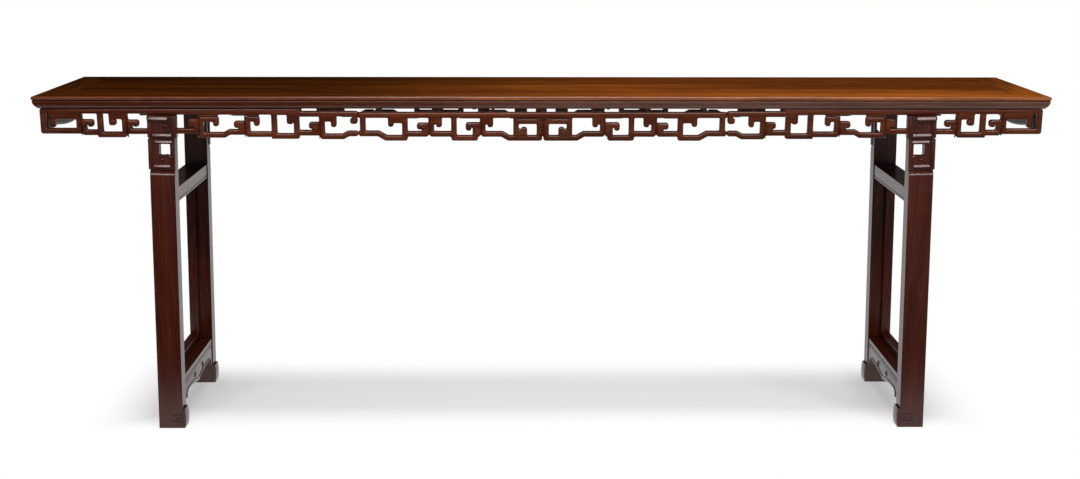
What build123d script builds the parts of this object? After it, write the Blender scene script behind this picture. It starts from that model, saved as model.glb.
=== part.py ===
from build123d import *
import os
from math import atan2, degrees

# Long Chinese altar table in polished hardwood.
#
# A mitred frame with a flush panel forms the top.  Two splayed trestles carry it, each of two legs, an upper
# and a lower stretcher, an inner frame and two shaped aprons.  Openwork fret aprons run along both long
# sides, housed across the leg heads, and a plain shaped apron closes each end.
#
# Frame: origin on the floor under the middle of the top, X along the table, Y to the back, Z up.

os.makedirs("parts", exist_ok=True)

# ------------------------------------------------------------------ driving sizes (mm)
table_length = 2680.0
table_depth = 450.0
table_height = 925.0
fit = 0.15                      # clearance on each side of a tenon, tongue or housed piece

# top frame and its moulded edge
top_thickness = 33.5
frame_width = 84.0
nose_round = 4.5                # rounded upper arris
nose_height = 9.0               # depth of the upright nose, from the top surface
nose_step = 1.2                 # the moulding starts this far behind the nose
edge_undercut = 14.0            # how far the moulded edge runs in towards the underside
belly_in_share = 0.36           # middle of the convex moulding, as shares of its width
belly_down_share = 0.62         # and of its height
corner_tenon_thickness = 8.0
corner_tenon_width = 28.0
corner_tenon_from_end = 32.0    # outer side of the corner tenon, from the end of the table
corner_tenon_stop = 22.0        # wood left in front of the corner tenon

# floating panel of two boards
panel_thickness = 12.0
panel_drop = 0.4                # the boards lie this little below the frame
panel_gap = 0.5                 # room for the boards to move, all round
tongue_thickness = 6.0
tongue_length = 7.0
tongue_top = 3.0                # wood above the tongue, from the top surface
spline_width = 16.0             # loose tongue between the two boards
spline_thickness = 4.0
spline_wood = 1.0               # wood between the spline and the dovetails
board_joint = 0.25              # joint between the two boards

# braces under the panel, slid into it on a dovetail
brace_count = 6
brace_end_space = 156.0         # middle of the outermost brace, from the end member
brace_width = 34.0
brace_height = 22.0
dovetail_root = 14.0
dovetail_head = 18.0
dovetail_height = 4.0
brace_tenon_width = 22.0
brace_tenon_thickness = 7.0
brace_tenon_length = 26.0
brace_tenon_wood = 4.0          # wood left under the brace mortise

# fret aprons
apron_inset = 14.0              # face of the aprons, in from the edge of the top
apron_thickness = 18.0
bar = 15.0                      # width of a fret bar
square_turn = 0.001                # cosine below which a turn of a bar is a right angle
fret_depth = 84.5               # depth of level 1000 of the fret, below the underside of the top
neck_recess = 3.0               # fillers between rail and curls lie this far behind the face
curl_line = 2.0                 # line between neighbouring curls, as deep as the fillers
outer_rail_depth = 14.5         # apron rail, from the underside of the top, outside the legs
inner_rail_depth = 17.0         # and between leg and hanging part
hanging_from_leg = 328.7        # beyond this the apron rail hangs clear of the top
hanging_gap = 7.0
hanging_rail_depth = 21.5
centre_gap = 9.5
centre_rail_depth = 25.5
seam_from_leg = 480.7           # joint between side and centre sections
seam_tenon_length = 7.0
seam_tenon_height = 5.0
seam_tenon_thickness = 6.0
leg_stub_length = 8.0           # stub tenons of the fret in the leg heads
leg_stub_thickness = 7.0
leg_stub_height = 8.0

# end aprons
end_apron_thickness = 16.0
end_apron_depth = 64.0          # at the corners
end_apron_tongue = 5.0          # thickness and length of the tongue in the long aprons
end_cusp_from_corner = 43.0
end_cusp_depth = 50.0
end_middle_depth = 68.0

# pegs between the aprons and the top
peg_size = 8.0
peg_in_top = 8.0
peg_in_apron = 6.0

# legs
leg_from_end = 301.0            # outer face of the legs at the height of the top, from the end of the table
leg_width = 66.0
leg_thickness = 40.0
leg_proud = 2.0                 # the plain shaft stands in front of the aprons
leg_splay = 23.0                # outward lean over the height of the table
shoulder_rise = 12.0
head_recess = 4.0               # joints between the carved blocks of the head, behind the apron face
neck_line = 3.0                 # height of those joints
lower_block_proud_outer = 3.0
lower_block_proud_inner = 2.0
lower_block_height = 82.0
lower_block_thickness = 13.0
upper_block_proud_outer = 3.5
upper_block_proud_inner = 6.5
upper_block_height = 60.35
upper_block_thickness = 18.0
eye_width = 29.0
eye_height = 31.0
eye_from_inner_side = 13.0
eye_from_block_foot = 38.0
eye_depth = 21.0                # behind this the eye opens wider
eye_widening = 4.0
field_border = 12.0             # raised border of the upper block
field_sunk = 4.0
field_boss = 9.0
scroll_line = 2.5               # carved lines
scroll_line_depth = 2.0
leg_tenon_thickness = 10.0
leg_tenon_width = 50.0
leg_tenon_height = 16.0

# feet
foot_height = 56.0
foot_step = 8.0                 # the foot stands out towards the middle of the table
foot_neck_inset = 3.0           # the step draws back by this at its upper edge
foot_bulge_height = 25.0        # widest place of the foot
foot_toe_round = 12.0           # height of the tapered toe on the outer side
foot_toe_inset = 4.0
foot_trim = 4.0                 # spare length cut off at the floor, once the leg leans
foot_scroll_width = 30.0
foot_scroll_height = 27.0
foot_scroll_turn_in = 6.0       # the scroll turns in by this at its lower outer corner
foot_scroll_inner_width = 22.0
foot_scroll_inner_height = 10.0
foot_scroll_low = 14.0          # lower side of the carved scroll above the floor
foot_scroll_from_inner_side = 9.0

# stretchers
stretcher_set_back = 2.0        # from both sides of the legs
upper_stretcher_low = 635.0
upper_stretcher_height = 40.0
lower_stretcher_low = 120.0
lower_stretcher_height = 22.0
stretcher_tenon_length = 25.0
stretcher_tenon_border = 8.0    # shoulders round the stretcher tenons
bead_line = 2.0
bead_from_edge = 8.0

# inner frame of a trestle
inner_frame_set_back = 4.0      # from the outer side of the legs
inner_frame_width = 25.0
inner_frame_section = 20.0

# shaped aprons under the lower stretcher
low_apron_thickness = 14.0
low_apron_end_height = 60.0     # lower edge above the floor: at the legs, in the arches, at the middle
low_apron_arch_height = 84.0
low_apron_pendant_height = 68.0
low_apron_end_length = 14.0
low_apron_curve_length = 26.0

# ------------------------------------------------------------------ the fret, drawn as strokes
# Each stroke is a run of bars through points.  A point is given in thousandths: its share of the length of
# its section, outwards, and its share of the depth of the fret, downwards.  RAIL stands for the apron rail.
RAIL = 0
OUTER_SHARE = 724               # bars that meet the leg heads from outside and from inside
INNER_SHARE = 713
BRIDGE_SHARE = 793              # bar that crosses the joint between two sections
OUTER_STROKES = (               # from the leg head to the end of the table
    ((973, RAIL), (973, 713), (637, 713), (637, RAIL)),
    ((637, 257), (883, 257), (883, 517)),
    ((442, 759), (595, 759), (595, 437), (527, 437), (527, 494)),
    ((595, 713), (637, 713)),
    ((442, RAIL), (442, 828), (211, 828), (211, RAIL)),
    ((211, 258), (332, 258), (332, 450), (317, 450)),
    ((106, 494), (106, 448), (171, 448), (171, OUTER_SHARE), (0, OUTER_SHARE)),
    ((171, OUTER_SHARE), (211, OUTER_SHARE)),
)
INNER_STROKES = (               # from the joint to the leg head
    ((1000, INNER_SHARE), (890, INNER_SHARE), (890, 414)),
    ((890, 414), (919, 414)),
    ((919, 414), (919, 494)),
    ((782, 483), (782, 345), (867, 345), (867, 839), (737, 839), (709, 747), (634, 747), (634, 483),
     (668, 483), (668, 529)),
    ((645, 483), (645, 747)),
    ((867, INNER_SHARE), (890, INNER_SHARE)),
    ((558, 471), (558, 333), (610, 333), (610, 816), (462, 816)),
    ((610, 747), (634, 747)),
    ((462, RAIL), (462, 874), (339, 874), (339, RAIL)),
    ((339, 370), (377, 370), (377, 411)),
    ((339, 270), (377, 270)),
    ((339, 770), (227, 770), (227, 517)),
    ((227, 517), (256, 517)),
    ((256, 517), (256, 552)),
    ((241, 517), (241, 770)),
    ((135, 506), (135, 333), (200, 333), (200, 885), (85, 885), (54, BRIDGE_SHARE), (0, BRIDGE_SHARE)),
    ((200, 770), (227, 770)),
    ((19, RAIL), (19, 402), (29, 402)),
)
CENTRE_STROKES = (              # from the middle of the table to the joint
    ((976, RAIL), (976, BRIDGE_SHARE)),
    ((1000, BRIDGE_SHARE), (892, BRIDGE_SHARE), (850, 931), (748, 931), (748, RAIL)),
    ((748, 380), (824, 380), (824, 494)),
    ((748, 805), (629, 805), (629, 540), (668, 540), (668, 575)),
    ((642, 540), (642, 805)),
    ((562, 506), (562, 345), (605, 345), (605, 805), (482, 805)),
    ((562, 425), (605, 425)),
    ((605, 805), (629, 805)),
    ((482, RAIL), (482, 931), (366, 931), (366, 525), (403, 525), (403, 615)),
    ((350, 525), (350, 805)),
    ((284, 506), (284, 356), (326, 356), (326, 805), (222, 805), (184, 931), (18, 931), (18, 403)),
    ((284, 422), (326, 422)),
    ((326, 805), (350, 805)),
    ((145, 931), (145, RAIL)),
    ((145, 403), (18, 403)),
    ((145, 729), (100, 729)),
    ((122, 729), (122, 931)),
    ((100, 676), (100, 931)),
    ((18, 403), (18, RAIL)),
)
# Fillers behind the face, from the rail down to a curl: two shares of the length and one of the depth.
INNER_NECKS = ((878, 770, 345), (622, 545, 333), (212, 123, 333))
CENTRE_NECKS = ((617, 557, 345), (338, 275, 356), (145, 18, 403), (8, 0, 931))
# Lines between neighbouring curls, as shares of the length of their section.
OUTER_LINES = (616, 191)
INNER_LINES = (878, 622, 213)
CENTRE_LINES = (617, 338)
# Pegs, as shares of the length of their section.
OUTER_PEGS = (342, 673)
INNER_PEGS = (152, 566)
CENTRE_PEGS = (0, 270, 566, 879)

# ------------------------------------------------------------------ places that follow from the sizes
half_length = table_length / 2
half_depth = table_depth / 2
underside = table_height - top_thickness
apron_face = half_depth - apron_inset
apron_back = apron_face - apron_thickness
apron_end = half_length - apron_inset
leg_front = apron_face + leg_proud
leg_back = leg_front - leg_thickness
splay_angle = degrees(atan2(leg_splay, table_height))
head_top = underside - inner_rail_depth - fit
upper_block_foot = head_top - upper_block_height
lower_block_top = upper_block_foot - neck_line
lower_block_foot = lower_block_top - lower_block_height
shoulder_height = lower_block_foot - neck_line - shoulder_rise
panel_top = table_height - panel_drop
panel_foot = panel_top - panel_thickness
tongue_high = table_height - tongue_top
tongue_low = tongue_high - tongue_thickness
brace_tenon_low = underside + brace_tenon_wood
corner_tenon_low = underside + (top_thickness - corner_tenon_thickness) / 2
leg_outer_at_top = half_length - leg_from_end
leg_outer_x = -leg_outer_at_top
upper_block_left = leg_outer_x - upper_block_proud_outer
upper_block_right = leg_outer_x + leg_width + upper_block_proud_inner
lower_block_left = leg_outer_x - lower_block_proud_outer
lower_block_right = leg_outer_x + leg_width + lower_block_proud_inner
low_apron_top = lower_stretcher_low
lower_stretcher_top = lower_stretcher_low + lower_stretcher_height
past = 40.0                     # how far a cutting block runs past what it cuts
ahead = 1.0                     # and how far in front of a face shallow carving starts
apron_middle = -(apron_back + apron_face) / 2


def head_side(offset, level):
    """Distance of a leaning face from the middle; offset is inwards from the outer face of the leg."""
    return leg_outer_at_top - offset + splay_out(underside - drop(level))


def splay_out(height):
    """How far the leaning faces have moved out at a height."""
    return (table_height - height) * leg_splay / table_height


def drop(level):
    """Distance of a fret level below the underside of the top."""
    return fret_depth * level / 1000


head_outer = head_side(-upper_block_proud_outer, OUTER_SHARE)
head_inner = head_side(leg_width + upper_block_proud_inner, INNER_SHARE)
seam = head_inner - seam_from_leg
hanging_start = head_inner - hanging_from_leg
OUTER_SPAN = (head_outer, apron_end)
INNER_SPAN = (seam, head_inner)
CENTRE_SPAN = (0, seam)


def along(share, span):
    """Distance from the middle of the table at a share of a section's length."""
    return span[0] + (span[1] - span[0]) * share / 1000


def rail_top(place):
    """Upper side of the apron rail, below the underside of the top."""
    if place < seam:
        return centre_gap
    if place < hanging_start:
        return hanging_gap
    return 0.0


def rail_low(place):
    """Lower side of the apron rail, below the underside of the top."""
    if place < seam:
        return centre_rail_depth
    if place < hanging_start:
        return hanging_rail_depth
    if place < head_outer:
        return inner_rail_depth
    return outer_rail_depth


peg_places = ([along(share, CENTRE_SPAN) for share in CENTRE_PEGS]
              + [along(share, INNER_SPAN) for share in INNER_PEGS]
              + [along(share, OUTER_SPAN) for share in OUTER_PEGS])


# ------------------------------------------------------------------ helpers
def block(x0, x1, y0, y1, z0, z1):
    """A box between two corners."""
    centre = ((x0 + x1) / 2, (y0 + y1) / 2, (z0 + z1) / 2)
    return Pos(*centre) * Box(abs(x1 - x0), abs(y1 - y0), abs(z1 - z0))


def prism_x(points, x0, x1):
    """A prism along X over an outline of (y, z) points."""
    outline = make_face(Polyline(*[(x0, y, z) for y, z in points], close=True))
    return extrude(outline, amount=x1 - x0, dir=(1, 0, 0))


def prism_y(points, y0, y1):
    """A prism along Y over an outline of (x, z) points."""
    outline = make_face(Polyline(*[(x, y0, z) for x, z in points], close=True))
    return extrude(outline, amount=y1 - y0, dir=(0, 1, 0))


def mirror_x(shape):
    return mirror(shape, about=Plane.YZ)


def mirror_y(shape):
    return mirror(shape, about=Plane.XZ)


def lean(shape):
    """Turn a left-hand trestle piece from upright to its splay, about its place at the top."""
    hinge = Pos(leg_outer_x, 0, table_height)
    return hinge * Rot(0, splay_angle, 0) * hinge.inverse() * shape


def save(shape, name):
    export_step(shape, f"parts/{name}.step")


# ------------------------------------------------------------------ the top
def edge_section(outer, inner):
    """Section of a frame member in (distance across, height); outer is the moulded edge."""
    side = 1 if inner > outer else -1
    top = table_height
    step = outer + side * nose_step
    belly = (outer + side * edge_undercut * belly_in_share,
             top - nose_height - (top_thickness - nose_height) * belly_down_share)
    round_off = nose_round * 0.2929
    section = [
        Line((inner, top), (outer + side * nose_round, top)),
        ThreePointArc((outer + side * nose_round, top), (outer + side * round_off, top - round_off),
                      (outer, top - nose_round)),
        Line((outer, top - nose_round), (outer, top - nose_height)),
        Line((outer, top - nose_height), (step, top - nose_height)),
        ThreePointArc((step, top - nose_height), belly, (outer + side * edge_undercut, underside)),
        Line((outer + side * edge_undercut, underside), (inner, underside)),
        Line((inner, underside), (inner, top)),
    ]
    return make_face(section)


def long_member():
    """Front member of the frame, mitred at both ends, grooved for the boards."""
    section = Plane.YZ.offset(-half_length) * edge_section(-half_depth, -half_depth + frame_width)
    member = extrude(section, amount=table_length)
    inner = half_length - frame_width
    outline = Polyline((-half_length, -half_depth), (half_length, -half_depth),
                       (inner, -half_depth + frame_width), (-inner, -half_depth + frame_width), close=True)
    member &= Pos(0, 0, underside - past) * extrude(make_face(outline), amount=top_thickness + 2 * past)
    member -= board_groove()
    for place in brace_places():
        member -= grown(brace_tenons(place), fit)
    for side in (-1, 1):
        member -= grown(corner_tenon(side, -1), fit)
    member -= grown(lean_tenon(), fit)
    member -= grown(mirror_x(lean_tenon()), fit)
    for one in pegs():
        member -= grown(one, fit)
    return member


def end_member():
    """Left member of the frame with its tenons in the long members."""
    section = Plane.XZ.offset(-half_depth) * edge_section(-half_length, -half_length + frame_width)
    member = extrude(section, amount=table_depth)
    inner = half_depth - frame_width
    outline = Polyline((-half_length, -half_depth), (-half_length, half_depth),
                       (-half_length + frame_width, inner), (-half_length + frame_width, -inner), close=True)
    member &= Pos(0, 0, underside - past) * extrude(make_face(outline), amount=top_thickness + 2 * past)
    member -= board_groove()
    for side in (-1, 1):
        member += corner_tenon(-1, side)
    return member


def corner_tenon(end, side):
    """Tenon of an end member, across the mitre into a long member."""
    x_outer = end * (half_length - corner_tenon_from_end)
    x_inner = x_outer - end * corner_tenon_width
    y_inner = side * (half_depth - frame_width)
    y_outer = side * (half_depth - corner_tenon_stop)
    return block(x_inner, x_outer, y_inner, y_outer,
                 corner_tenon_low, corner_tenon_low + corner_tenon_thickness)


def board_groove():
    """Space for the tongue round the boards."""
    reach_x = half_length - frame_width + tongue_length + panel_gap
    reach_y = half_depth - frame_width + tongue_length + panel_gap
    return block(-reach_x, reach_x, -reach_y, reach_y, tongue_low - fit, tongue_high + fit)


def boards():
    """Front and back boards of the panel, with tongue, spline groove and dovetail housings."""
    field_x = half_length - frame_width - panel_gap
    field_y = half_depth - frame_width - panel_gap
    panel = block(-field_x, field_x, -field_y, field_y, panel_foot, panel_top)
    tongue_x = field_x + tongue_length
    tongue_y = field_y + tongue_length
    panel += block(-tongue_x, tongue_x, -tongue_y, tongue_y, tongue_low, tongue_high)
    panel -= grown(board_spline(), fit)
    for place in brace_places():
        panel -= dovetail(place, fit)
    front = panel & block(-half_length, half_length, -half_depth, -board_joint / 2, underside, table_height)
    return front, mirror_y(front)


def board_spline():
    """Loose tongue along the joint between the two boards."""
    reach = half_length - frame_width - panel_gap
    low = panel_foot + dovetail_height + spline_wood
    return block(-reach, reach, -spline_width / 2, spline_width / 2, low, low + spline_thickness)


def brace_places():
    reach = half_length - frame_width - brace_end_space
    spacing = 2 * reach / (brace_count - 1)
    return [-reach + i * spacing for i in range(brace_count)]


def dovetail(place, room):
    """Dovetail on the back of a brace, or with room its housing in the boards."""
    root = dovetail_root / 2 + room
    head = dovetail_head / 2 + room
    reach = half_depth - frame_width - panel_gap + room
    outline = [(place - root, panel_foot), (place + root, panel_foot),
               (place + head, panel_foot + dovetail_height + room),
               (place - head, panel_foot + dovetail_height + room)]
    return prism_y(outline, -reach, reach)


def brace_tenons(place):
    """Both tenons of a brace, as one bar through it."""
    reach = half_depth - frame_width + brace_tenon_length
    return block(place - brace_tenon_width / 2, place + brace_tenon_width / 2, -reach, reach,
                 brace_tenon_low, brace_tenon_low + brace_tenon_thickness)


def brace(place):
    reach = half_depth - frame_width
    body = block(place - brace_width / 2, place + brace_width / 2, -reach, reach,
                 panel_foot - brace_height, panel_foot)
    return body + dovetail(place, 0) + brace_tenons(place)


def grown(shape, room):
    """The bounding block of a piece, larger by room on every side: the housing for a square tenon."""
    low = shape.bounding_box().min
    high = shape.bounding_box().max
    return block(low.X - room, high.X + room, low.Y - room, high.Y + room, low.Z - room, high.Z + room)


# ------------------------------------------------------------------ fret aprons
def fret_point(point, span):
    """Distance from the middle of the table and drop below the underside of a point of the fret."""
    place = along(point[0], span)
    if point[1] == RAIL:
        return place, rail_top(place) + bar / 2
    return place, drop(point[1])


def square_parts(path):
    """Parts of a path between its right-angled turns, so that only its slanting turns are mitred.

    The square ends of two parts pass the turn by half a bar each and fill its corner.
    """
    parts = [path[:2]]
    for before, corner, after in zip(path, path[1:], path[2:]):
        turn = (corner - before).normalized().dot((after - corner).normalized())
        if abs(turn) < square_turn:
            parts.append([corner])
        parts[-1].append(after)
    return parts


def part_outline(part):
    """Outline of a bar through points, mitred at its turns and square at its ends."""
    path = list(part)
    runs = [(end - start).normalized() for start, end in zip(path, path[1:])]
    path[0] -= runs[0] * bar / 2
    path[-1] += runs[-1] * bar / 2
    left = []
    right = []
    for point, before, after in zip(path, runs[:1] + runs, runs + runs[-1:]):
        turn = (before + after) / (1 + before.dot(after))
        side = Vector(-turn.Y, turn.X) * bar / 2
        left.append(point + side)
        right.append(point - side)
    return make_face(Polyline(*left, *reversed(right), close=True))


def span_outline(x0, x1, drop0, drop1):
    """Rectangle between two distances from the middle and two drops."""
    middle = ((x0 + x1) / 2, underside - (drop0 + drop1) / 2)
    return Pos(*middle) * Rectangle(abs(x1 - x0), abs(drop1 - drop0))


def stroke_outlines(strokes, span):
    outlines = []
    for stroke in strokes:
        points = [fret_point(point, span) for point in stroke]
        path = [Vector(place, underside - depth) for place, depth in points]
        outlines += [part_outline(part) for part in square_parts(path)]
    return outlines


def neck_outlines(necks, span):
    outlines = []
    for outer, inner, level in necks:
        x0 = along(inner, span)
        x1 = along(outer, span)
        outlines.append(span_outline(x0, x1, rail_top(x0) + bar / 2, drop(level)))
    return outlines


def line_outlines(lines, span):
    outlines = []
    for share in lines:
        middle = along(share, span)
        outlines.append(span_outline(middle - curl_line / 2, middle + curl_line / 2,
                                     rail_low(middle), fret_depth + bar))
    return outlines


def upright(outlines, thickness, face):
    """Extrude outlines drawn in X and Z backwards from a face at -Y."""
    sketch = Sketch() + outlines
    return extrude(Plane.XZ.offset(face - thickness) * sketch, amount=thickness)


def fret(bars, fillers, lines):
    """Fret section drawn with distances along +X, its face at -Y.

    The fillers lie behind the face, and so does the bottom of the lines between neighbouring curls.
    """
    body = upright(bars, apron_thickness, apron_face)
    body += upright(fillers, apron_thickness - 2 * neck_recess, apron_face - neck_recess)
    return body - upright(lines, neck_recess, apron_face)


def peg(place):
    """Square peg from an apron rail up into the top."""
    low = underside - rail_top(place) - peg_in_apron
    return block(place - peg_size / 2, place + peg_size / 2,
                 apron_middle - peg_size / 2, apron_middle + peg_size / 2, low, underside + peg_in_top)


def pegs():
    """Pegs of the front apron over its whole length."""
    right = [peg(place) for place in peg_places]
    return right + [mirror_x(peg(place)) for place in peg_places if place > 0]


def flat_tenon(x0, x1, middle_z, height, thickness):
    return block(x0, x1, apron_middle - thickness / 2, apron_middle + thickness / 2,
                 middle_z - height / 2, middle_z + height / 2)


def seam_tenons():
    """Stub tenons of a side section in the centre section, in the rail and in the bar across the joint."""
    shared_high = max(centre_gap, hanging_gap)
    shared_low = min(centre_rail_depth, hanging_rail_depth)
    rail_z = underside - (shared_high + shared_low) / 2
    bridge_z = underside - drop(BRIDGE_SHARE)
    start = seam - seam_tenon_length
    return [flat_tenon(start, seam + bar, rail_z, seam_tenon_height, seam_tenon_thickness),
            flat_tenon(start, seam + bar, bridge_z, seam_tenon_height, seam_tenon_thickness)]


def leg_stubs():
    """Stub tenons of the fret in both sides of a leg head."""
    outer_z = underside - drop(OUTER_SHARE)
    inner_z = underside - drop(INNER_SHARE)
    outer_root = head_outer - leg_stub_length
    inner_root = head_inner + leg_stub_length
    return [flat_tenon(outer_root, head_outer + bar, outer_z, leg_stub_height, leg_stub_thickness),
            flat_tenon(head_inner - bar, inner_root, inner_z, leg_stub_height, leg_stub_thickness)]


def end_tongue(room):
    """Tongue of the right end apron in the front apron, or with room its groove."""
    middle_x = apron_end - bar / 2
    half = end_apron_tongue / 2 + room
    return block(middle_x - half, middle_x + half, -apron_back - end_apron_tongue - room, -apron_back,
                 underside - end_apron_depth + bar - room, underside - outer_rail_depth + room)


def side_apron():
    """Front apron section from the right-hand seam to the right end, housed across the leg."""
    head_middle = (head_inner + head_outer) / 2
    bars = [span_outline(head_middle, apron_end, 0, outer_rail_depth),
            span_outline(hanging_start, head_outer, 0, inner_rail_depth),
            span_outline(seam, hanging_start, hanging_gap, hanging_rail_depth)]
    bars += stroke_outlines(OUTER_STROKES, OUTER_SPAN)
    bars += stroke_outlines(INNER_STROKES, INNER_SPAN)
    lines = line_outlines(OUTER_LINES, OUTER_SPAN) + line_outlines(INNER_LINES, INNER_SPAN)
    body = fret(bars, neck_outlines(INNER_NECKS, INNER_SPAN), lines)
    side_room = leg_stub_height * leg_splay / table_height + fit
    body -= block(head_inner - side_room, head_outer + side_room, -half_depth, 0,
                  0, underside - inner_rail_depth)
    body -= block(0, seam + fit, -half_depth, 0, 0, underside)
    body -= end_tongue(fit)
    for piece in leg_stubs() + seam_tenons():
        body += piece
    for place in peg_places:
        if place > seam:
            body -= grown(peg(place), fit)
    return body


def centre_apron():
    """Front apron section between the seams."""
    bars = stroke_outlines(CENTRE_STROKES, CENTRE_SPAN)
    bars.append(span_outline(0, seam, centre_gap, centre_rail_depth))
    half = fret(bars, neck_outlines(CENTRE_NECKS, CENTRE_SPAN), line_outlines(CENTRE_LINES, CENTRE_SPAN))
    half &= block(0, seam - fit, -half_depth, 0, 0, underside)
    body = half + mirror_x(half)
    for tenon in seam_tenons():
        body -= grown(tenon, fit)
        body -= mirror_x(grown(tenon, fit))
    for one in pegs():
        body -= grown(one, fit)
    return body


# ------------------------------------------------------------------ end aprons
def end_apron():
    """Right end apron, cusped along its lower edge, tongued into the long aprons."""
    y_end = apron_back
    y_cusp = apron_back - end_cusp_from_corner
    z_end = underside - end_apron_depth
    z_cusp = underside - end_cusp_depth
    z_middle = underside - end_middle_depth
    y_half = (y_cusp + y_end) / 2
    edge = [
        Line((y_end, underside), (-y_end, underside)),
        Line((-y_end, underside), (-y_end, z_end)),
        Line((-y_end, z_end), (-y_half, z_end)),
        ThreePointArc((-y_half, z_end), (-(y_half * 0.35 + y_cusp * 0.65), z_end * 0.45 + z_cusp * 0.55),
                      (-y_cusp, z_cusp)),
        ThreePointArc((-y_cusp, z_cusp), (-y_cusp / 2, z_middle * 0.7 + z_cusp * 0.3), (0, z_middle)),
        ThreePointArc((0, z_middle), (y_cusp / 2, z_middle * 0.7 + z_cusp * 0.3), (y_cusp, z_cusp)),
        ThreePointArc((y_cusp, z_cusp), (y_half * 0.35 + y_cusp * 0.65, z_end * 0.45 + z_cusp * 0.55),
                      (y_half, z_end)),
        Line((y_half, z_end), (y_end, z_end)),
        Line((y_end, z_end), (y_end, underside)),
    ]
    face = Plane.YZ.offset(apron_end - end_apron_thickness) * make_face(edge)
    body = extrude(face, amount=end_apron_thickness)
    return body + end_tongue(0) + mirror_y(end_tongue(0))


# ------------------------------------------------------------------ legs
def leg_tenon():
    """Upright tenon of the front left leg in the long member of the top."""
    middle_x = leg_outer_x + leg_width / 2
    middle_y = -(apron_back + leg_back) / 2
    return block(middle_x - leg_tenon_width / 2, middle_x + leg_tenon_width / 2,
                 middle_y - leg_tenon_thickness / 2, middle_y + leg_tenon_thickness / 2,
                 underside - leg_tenon_height, underside + leg_tenon_height)


def lean_tenon():
    """The same tenon at its splay, above the underside of the top."""
    above = block(-half_length, half_length, -half_depth, half_depth, underside, table_height)
    return lean(leg_tenon()) & above


def foot_outline():
    """Foot in (x, z): flush outside, stepped out towards the middle, both toes rounded."""
    left = leg_outer_x
    right = leg_outer_x + leg_width + foot_step
    neck = right - foot_neck_inset
    return make_face([
        Line((left, foot_height), (left, foot_toe_round)),
        Line((left, foot_toe_round), (left + foot_toe_inset, -foot_trim)),
        Line((left + foot_toe_inset, -foot_trim), (right - foot_toe_inset, -foot_trim)),
        ThreePointArc((right - foot_toe_inset, -foot_trim), (right, foot_bulge_height), (neck, foot_height)),
        Line((neck, foot_height), (left, foot_height)),
    ])


def scroll_lines(left, low, line):
    """Square scroll of the foot as (x0, x1, z0, z1) lines, opening at its lower right."""
    right = left + foot_scroll_width
    high = low + foot_scroll_height
    inner_low = low + foot_scroll_turn_in
    inner_right = left + foot_scroll_inner_width
    inner_high = inner_low + foot_scroll_inner_height
    curl_left = (left + inner_right) / 2
    return [(right - line, right, low, high),
            (left, right, high - line, high),
            (left, left + line, inner_low, high),
            (left, inner_right, inner_low, inner_low + line),
            (inner_right - line, inner_right, inner_low, inner_high),
            (curl_left, inner_right, inner_high - line, inner_high)]


def front_left_leg():
    """Leg with block foot, plain shaft, sloped shoulder and two carved head blocks, upright."""
    left = leg_outer_x
    right = leg_outer_x + leg_width
    front = -leg_front
    back = -leg_back
    core_front = -apron_face + head_recess
    leg = block(left, right, front, back, 0, shoulder_height)
    leg += extrude(Plane.XZ.offset(leg_back) * foot_outline(), amount=leg_thickness)
    leg += block(left, right, core_front, back, shoulder_height, head_top)
    leg += prism_x([(front, shoulder_height), (front + leg_proud, shoulder_height + shoulder_rise * 0.65),
                    (core_front, shoulder_height + shoulder_rise), (back, shoulder_height + shoulder_rise),
                    (back, shoulder_height)], left, right)
    leg += lower_head_block()
    leg += upper_head_block()
    leg += block(left, right, -apron_back + fit, back, head_top, underside + past / 2)
    leg -= head_eye()
    leg -= foot_scroll()
    return leg


def lower_head_block():
    left = lower_block_left
    right = lower_block_right
    body = block(left, right, -apron_face, -apron_face + lower_block_thickness,
                 lower_block_foot, lower_block_top)
    line = scroll_line
    border = field_border
    low = lower_block_foot + border
    high = lower_block_top - border
    for x0, x1, z0, z1 in ((left + border, right - border / 2, high, high + line),
                           (left + border, left + border + line, low, high),
                           (left + border, right - border, low, low + line),
                           (right - border, right - border + line, low, low + border)):
        body -= block(x0, x1, -apron_face - ahead, -apron_face + scroll_line_depth, z0, z1)
    return body


def upper_head_block():
    left = upper_block_left
    right = upper_block_right
    body = block(left, right, -apron_face, -apron_face + upper_block_thickness, upper_block_foot, head_top)
    sunk = block(left + field_border, right - field_border, -apron_face - ahead, -apron_face + field_sunk,
                 upper_block_foot + field_border, head_top - field_border)
    boss_left = right - field_border - 2 * field_boss
    boss_low = (upper_block_foot + head_top) / 2 - field_boss / 2
    sunk -= block(boss_left, boss_left + field_boss, -apron_face - ahead, -apron_face + field_sunk,
                  boss_low, boss_low + field_boss)
    return body - sunk


def head_eye():
    """Pierced eye in the lower head block, wider behind."""
    right = lower_block_right - eye_from_inner_side
    left = right - eye_width
    low = lower_block_foot + eye_from_block_foot
    high = low + eye_height
    front = -apron_face
    eye = block(left, right, front - ahead, front + eye_depth, low, high)
    return eye + block(left - eye_widening, right + eye_widening, front + eye_depth, 0,
                       low - eye_widening, high + eye_widening)


def foot_scroll():
    left = leg_outer_x + leg_width + foot_step - foot_scroll_from_inner_side - foot_scroll_width
    cuts = Part()
    for x0, x1, z0, z1 in scroll_lines(left, foot_scroll_low, scroll_line):
        cuts += block(x0, x1, -leg_front - ahead, -leg_front + scroll_line_depth, z0, z1)
    return cuts


def finished_front_left_leg():
    """Leg at its splay, cut to floor and underside, mortised for stretchers and fret."""
    leg = front_left_leg()
    leg -= grown(upper_tenon(), fit)
    leg -= grown(lower_tenon(), fit)
    leg = lean(leg)
    leg -= block(-half_length, 0, -half_depth, half_depth, -past, 0)
    leg -= block(-half_length, 0, -half_depth, half_depth, underside, table_height + past)
    leg += lean_tenon()
    for stub in leg_stubs():
        leg -= grown(mirror_x(stub), fit)
    return leg


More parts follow.
